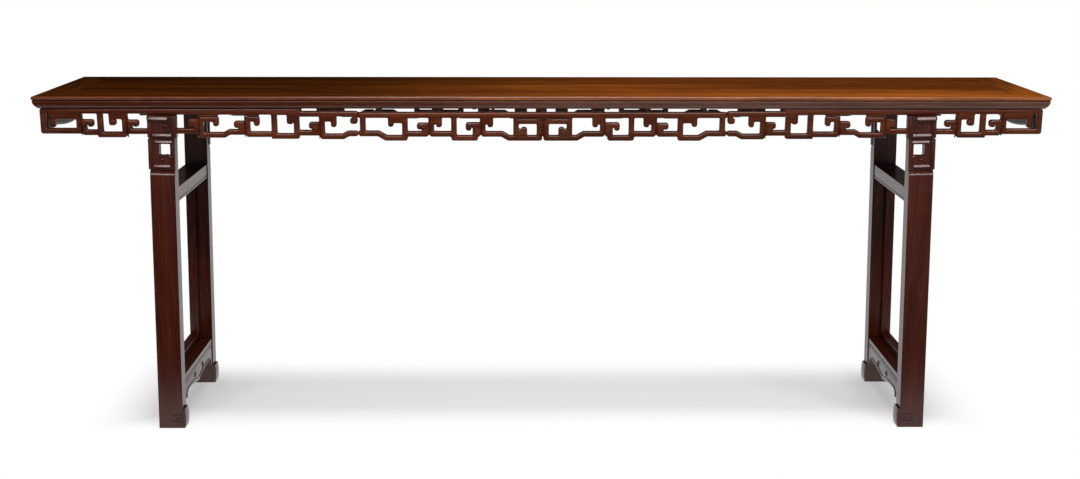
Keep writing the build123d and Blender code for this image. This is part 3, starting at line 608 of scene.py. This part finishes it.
def shaped_member(name):
    """A member of the top with smooth mouldings: flat surface, nose with its painted highlight and lower
    moulding with its painted sheen differ, and a groove runs between the two."""
    bm = bmesh.new()
    bm.from_mesh(NODES[name].data)
    bmesh.ops.remove_doubles(bm, verts=bm.verts, dist=MERGE)
    bmesh.ops.dissolve_limit(bm, angle_limit=math.radians(1), verts=bm.verts, edges=bm.edges)
    for level in (GROOVE_LOW, GROOVE_LOW + GROOVE_RISE):
        bmesh.ops.bisect_plane(bm, geom=bm.verts[:] + bm.edges[:] + bm.faces[:], dist=MERGE / 10,
                               plane_co=(0, 0, level), plane_no=(0, 0, 1))
    far = CAD_BOX[1]
    for vert in bm.verts:
        gaps = [far[k] - abs(vert.co[k]) for k in (0, 1)]
        if not GROOVE_LOW + MERGE < vert.co.z < NOSE_LOW + MERGE:
            continue
        nearest = min(gaps)
        if not GROOVE_DEPTH / 5 < nearest < GROOVE_DEPTH:
            continue
        for k in (0, 1):
            if gaps[k] - nearest < MERGE:
                depth = max(gaps[k], (GROOVE_END_DEPTH, GROOVE_DEPTH)[k])
                vert.co[k] = math.copysign(far[k] - depth, vert.co[k])
    for face in bm.faces:
        face.normal_update()
        level = face.calc_center_median().z
        # slot 1, the nose, takes a painted highlight; slot 2, the lower moulding, a painted sheen
        face.material_index = 0 if face.normal.z > TOP_FLAT else 1 if level > NOSE_LOW + MERGE else 2
    mesh = finish_mesh(bm, name + "_shaped", 30)
    faces = [face.material_index for face in mesh.polygons]
    piece = add_piece(name + "_shaped", mesh, node_wood(name))
    mesh.materials.append(WOODS["nose"])
    mesh.materials.append(WOODS["belly"])
    mesh.polygons.foreach_set("material_index", faces)
    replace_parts(piece, name)


# ---------------------------------------------------------------- carved relief
def lean_matrix():
    """From the upright front left leg, with X from its outer face, to its place in the table."""
    angle = math.atan2(LEG_SPLAY, TABLE_HEIGHT)
    hinge = Matrix.Translation((-LEG_OUTER_X, 0, TABLE_HEIGHT))
    return hinge @ Matrix.Rotation(angle, 4, "Y") @ Matrix.Translation((0, 0, -TABLE_HEIGHT))


def open_corners(points, radius):
    """Points of an open line with its corners rounded."""
    path = [points[0]]
    for before, here, beyond in zip(points, points[1:], points[2:]):
        a, b = (here - before), (beyond - here)
        reach = min(radius, a.length / 2, b.length / 2)
        start, end = here - a.normalized() * reach, here + b.normalized() * reach
        for k in range(CORNER_STEPS + 1):
            t = k / CORNER_STEPS
            path.append(start * (1 - t) ** 2 + here * 2 * t * (1 - t) + end * t ** 2)
    path.append(points[-1])
    return path


ROUND = [(math.cos(math.pi * k / 8), math.sin(math.pi * k / 8)) for k in range(9)]
SLOPED = [(1.0, 0.02), (0.9, 0.14), (0.35, 0.44), (-0.25, 0.75), (-0.66, 0.95), (-0.86, 1.0), (-1.0, 0.86),
          (-1.0, 0.0)]


def moulding(bm, points, normal, half_width, height, profile=ROUND, sink=0.001, corner=0.004):
    """A bar with rounded ends, laid on a face along a line of points; a sloped one has its
    slope on the side that lies left of the line for someone on the face."""
    path = open_corners([Vector(p) for p in points], corner)
    normal = Vector(normal)
    caps = 4
    stations = []
    for i, p in enumerate(path):
        before = path[max(i - 1, 0)]
        beyond = path[min(i + 1, len(path) - 1)]
        stations.append((p, (beyond - before).normalized(), 1.0))
    turns = [math.pi / 2 * k / caps for k in range(1, caps + 1)]
    lead = [(stations[0][0] - stations[0][1] * half_width * math.sin(t), stations[0][1],
             max(math.cos(t), 0.05)) for t in turns]
    tail = [(stations[-1][0] + stations[-1][1] * half_width * math.sin(t), stations[-1][1],
             max(math.cos(t), 0.05)) for t in turns]
    rings = []
    for place, along, size in lead[::-1] + stations + tail:
        side = normal.cross(along) * half_width * size
        out = normal * height * size
        ring = [bm.verts.new(place + side * a + out * b) for a, b in profile]
        ring.append(bm.verts.new(place - side - normal * sink))
        ring.append(bm.verts.new(place + side - normal * sink))
        rings.append(ring)
    for a, b in zip(rings, rings[1:]):
        for k in range(len(a)):
            j = (k + 1) % len(a)
            bm.faces.new((a[k], a[j], b[j], b[k]))
    bm.faces.new(rings[0])
    bm.faces.new(rings[-1][::-1])


def leg_relief(bm):
    """Carving on the head of the upright front left leg; X runs from its outer face."""

    def bar(points, half_width, height, profile=ROUND):
        moulding(bm, [(x, -APRON_FACE, z) for x, z in points], (0, -1, 0), half_width, height, profile)

    # upper block: border whose top bar ends short of the inner side, and a small curl
    bar([(0.0010, 0.8665), (0.0450, 0.8665)], 0.0058, 0.0058, SLOPED)
    bar([(0.0015, 0.8200), (0.0015, 0.8560)], 0.0042, 0.0026)
    bar([(0.0120, 0.8225), (0.0560, 0.8225)], 0.0048, 0.0050, SLOPED)
    bar([(0.0665, 0.8200), (0.0665, 0.8680)], 0.0044, 0.0030)
    bar([(0.0385, 0.8465), (0.0450, 0.8465)], 0.0034, 0.0036)
    # lower block: border round the eye, knob under it, curl at its lower inner corner
    bar([(0.0150, 0.8045), (0.0570, 0.8045)], 0.0042, 0.0044, SLOPED)
    bar([(0.0125, 0.7390), (0.0505, 0.7390)], 0.0044, 0.0046, SLOPED)
    bar([(0.0630, 0.7400), (0.0630, 0.8020)], 0.0030, 0.0026)
    bar([(0.0035, 0.7380), (0.0035, 0.8030)], 0.0028, 0.0020)
    bar([(0.0310, 0.7560), (0.0355, 0.7560)], 0.0034, 0.0038)
    bar([(0.0590, 0.7620), (0.0520, 0.7640), (0.0480, 0.7690)], 0.0030, 0.0028)


def shoulder(bm):
    """Sloped moulding between head and shaft, over the width of the leg."""
    low, high = SHOULDER_LOW, SHOULDER_HIGH
    inner = -0.2065
    profile = [(inner, high), (-0.2076, high - 0.0004), (-0.2140, low + 0.0020), (-0.2143, low + 0.0010),
               (-0.2138, low + 0.0002), (-0.2125, low), (inner, low)]
    rings = []
    for x, inset in ((0.0004, 0.0012), (0.0016, 0), (LEG_WIDTH - 0.0016, 0), (LEG_WIDTH - 0.0004, 0.0012)):
        rings.append([bm.verts.new((x, min(y + inset, inner), min(max(z, low + inset), high - inset)))
                      for y, z in profile])
    for a, b in zip(rings, rings[1:]):
        for k in range(len(a)):
            j = (k + 1) % len(a)
            bm.faces.new((a[k], a[j], b[j], b[k]))
    bm.faces.new(rings[0])
    bm.faces.new(rings[-1][::-1])


def spiral(centre, start, end, turns, direction):
    """Points of a spiral in (y, z) from an outer to an inner radius."""
    steps = round(16 * turns)
    points = []
    for k in range(steps + 1):
        radius = start + (end - start) * k / steps
        angle = -math.pi / 2 + direction * 2 * math.pi * turns * k / steps
        points.append((centre[0] + radius * math.cos(angle), centre[1] + radius * math.sin(angle)))
    return points


def low_apron_relief(bm, x, out):
    """Bead along the lower edge and two scrolls, on the face at x, seen from the side out."""
    bead = [(0.1530, 0.0700), (0.1470, 0.0850), (0.1300, 0.0925), (0.0660, 0.0910), (0.0, 0.0790)]
    line = bead + [(-y, z) for y, z in bead[-2::-1]]
    moulding(bm, [(x, y, z) for y, z in line], (out, 0, 0), *BEAD, corner=0.012)
    for side in (-1, 1):
        centre = side * SCROLL_PLACE[0], SCROLL_PLACE[1]
        curl = spiral(centre, SCROLL_OUTER, SCROLL_INNER, SCROLL_TURNS, side)
        moulding(bm, [(x, y, z) for y, z in curl], (out, 0, 0), *SCROLL)


def carve(name, slot, place, make, *values):
    bm = bmesh.new()
    make(bm, *values)
    bmesh.ops.transform(bm, matrix=place, verts=bm.verts)
    bmesh.ops.recalc_face_normals(bm, faces=bm.faces)
    add_piece(name, finish_mesh(bm, name), WOODS["leg" if slot == "leg" else "cross"])


def carve_trestles():
    for side, x_sign in (("left", 1), ("right", -1)):
        for depth, y_sign in (("front", 1), ("back", -1)):
            place = Matrix.Diagonal((x_sign, y_sign, 1, 1)) @ lean_matrix()
            name = "leg_" + depth + "_" + side
            carve(name + "_carving", "leg", place, leg_relief)
            carve(name + "_shoulder", "leg", place, shoulder)
        place = Matrix.Diagonal((x_sign, 1, 1, 1)) @ lean_matrix()
        for board, face, far, out in LOW_APRONS:
            name = "low_apron_" + board + "_" + side
            flat = place @ SWAP_XY
            cross_board(name, flat, face, far)
            carve(name + "_relief", "trestle", place, low_apron_relief, face, out)
        name = "end_apron_" + side
        flat = Matrix.Diagonal((-x_sign, 1, 1, 1)) @ SWAP_XY
        cross_board(name, flat, END_APRON_FACE, END_APRON_BACK)


# ---------------------------------------------------------------- light and floor
WORLD_LIGHT = 0.20
ROOM_FADE = 0.02, 0.08, 1.0, 0.04       # mirrored rays: from and to this height, from and to this level
FLOOR_LIFT = 0.22               # light that the paper gives besides what falls on it
FLOOR_MIDDLE = 0.06
FLOOR_FADE_X = 1.0, 1.3         # the paper turns plain white between these distances from its middle
FLOOR_FADE_Y = 0.08, 0.34
GLOW_AHEAD = -0.70, -0.33       # mirrored paper: starts in front of the table
GLOW_BEHIND = 4.0, 5.2, 0.9, 0.08       # is dimmer far behind it
GLOW_RIGHT = 0.2, 1.6, 0.0, 0.12        # and a little lighter to its right


def area(name, place, target, size, power):
    data = bpy.data.lights.new(name, "AREA")
    data.shape = "RECTANGLE"
    data.size, data.size_y = size
    data.energy = power
    obj = bpy.data.objects.new(name, data)
    obj.location = place
    obj.rotation_euler = (Vector(target) - Vector(place)).to_track_quat("-Z", "Y").to_euler()
    bpy.context.scene.collection.objects.link(obj)


def mirrored_rays(g):
    """1 for glossy and transmission rays."""
    path = g.node("ShaderNodeLightPath")
    both = g.math("MAXIMUM", path.outputs["Is Glossy Ray"], path.outputs["Is Transmission Ray"])
    return path.outputs["Is Camera Ray"], both


def make_world():
    """White behind the object; soft light; above the horizon mirrored rays see a dim room."""
    world = bpy.data.worlds.new("world")
    bpy.context.scene.world = world
    world.use_nodes = True
    g = Graph(world.node_tree)
    camera, mirrored = mirrored_rays(g)
    coords = g.node("ShaderNodeTexCoord")
    place = g.node("ShaderNodeSeparateXYZ")
    g.link(coords.outputs["Generated"], place.inputs[0])
    low = g.step(place.outputs[2], *ROOM_FADE)
    levels = g.math("ADD", g.math("MULTIPLY", mirrored, low),
                    g.math("MULTIPLY", g.math("SUBTRACT", 1.0, mirrored), WORLD_LIGHT))
    strength = g.math("MAXIMUM", levels, camera)
    back = g.node("ShaderNodeBackground", Color=(1, 1, 1, 1))
    g.link(strength, back.inputs["Strength"])
    out = g.node("ShaderNodeOutputWorld")
    g.link(back.outputs[0], out.inputs[0])


def make_floor():
    """White paper: lit and shadowed near the object, plain white beyond."""
    mesh = bpy.data.meshes.new("floor")
    mesh.from_pydata([(-14, -8, 0), (14, -8, 0), (14, 20, 0), (-14, 20, 0)], [], [(0, 1, 2, 3)])
    floor = bpy.data.objects.new("floor", mesh)
    bpy.context.scene.collection.objects.link(floor)
    mat, g = new_material("floor_paper")
    camera, mirrored = mirrored_rays(g)
    coords = g.node("ShaderNodeTexCoord")
    place = g.node("ShaderNodeSeparateXYZ")
    g.link(coords.outputs["Object"], place.inputs[0])
    x, y = place.outputs[0], place.outputs[1]
    far = g.math("MAXIMUM", g.step(g.math("ABSOLUTE", x), *FLOOR_FADE_X),
                 g.step(g.math("ABSOLUTE", g.math("SUBTRACT", y, FLOOR_MIDDLE)), *FLOOR_FADE_Y))
    diffuse = g.node("ShaderNodeBsdfDiffuse", Color=(0.8, 0.8, 0.8, 1))
    lit = g.node("ShaderNodeAddShader")
    g.link(diffuse.outputs[0], lit.inputs[0])
    g.link(g.emission(FLOOR_LIFT), lit.inputs[1])
    seen = g.mix_shader(far, lit.outputs[0], g.emission(1.0))
    ahead = g.step(y, *GLOW_AHEAD)
    behind = g.step(y, *GLOW_BEHIND)
    to_right = g.step(x, *GLOW_RIGHT)
    glow = g.math("MAXIMUM", g.math("MULTIPLY", ahead, behind), to_right)
    surface = g.mix_shader(camera, diffuse.outputs[0], seen)
    surface = g.mix_shader(mirrored, surface, g.emission(glow))
    out = g.node("ShaderNodeOutputMaterial")
    g.link(surface, out.inputs[0])
    mesh.materials.append(mat)


def lamps():
    area("overhead", (0.3, -0.29, 3.6), (0.3, -0.29, 0), (2.6, 0.9), 65)
    area("strip", (0.25, -1.75, 2.5), (0.1, -0.2, 0.7), (4.2, 0.35), 78)


# ---------------------------------------------------------------- build the picture
make_camera()
HEADS = head_spans()
for name, node in NODES.items():
    dress(node, node_wood(name))
    if name.startswith(("front_apron", "back_apron")) and not name.endswith("pegs"):
        fret(name, HEADS)
    elif name.startswith("leg"):
        bevel(node, LEG_BEVEL, 3)
    elif name.startswith("top_member"):
        shaped_member(name)
    elif name.startswith(("inner_frame", "upper", "lower")):
        bevel(node, FRAME_BEVEL, 2)
carve_trestles()
make_world()
make_floor()
lamps()
bpy.context.scene.view_settings.view_transform = "Standard"
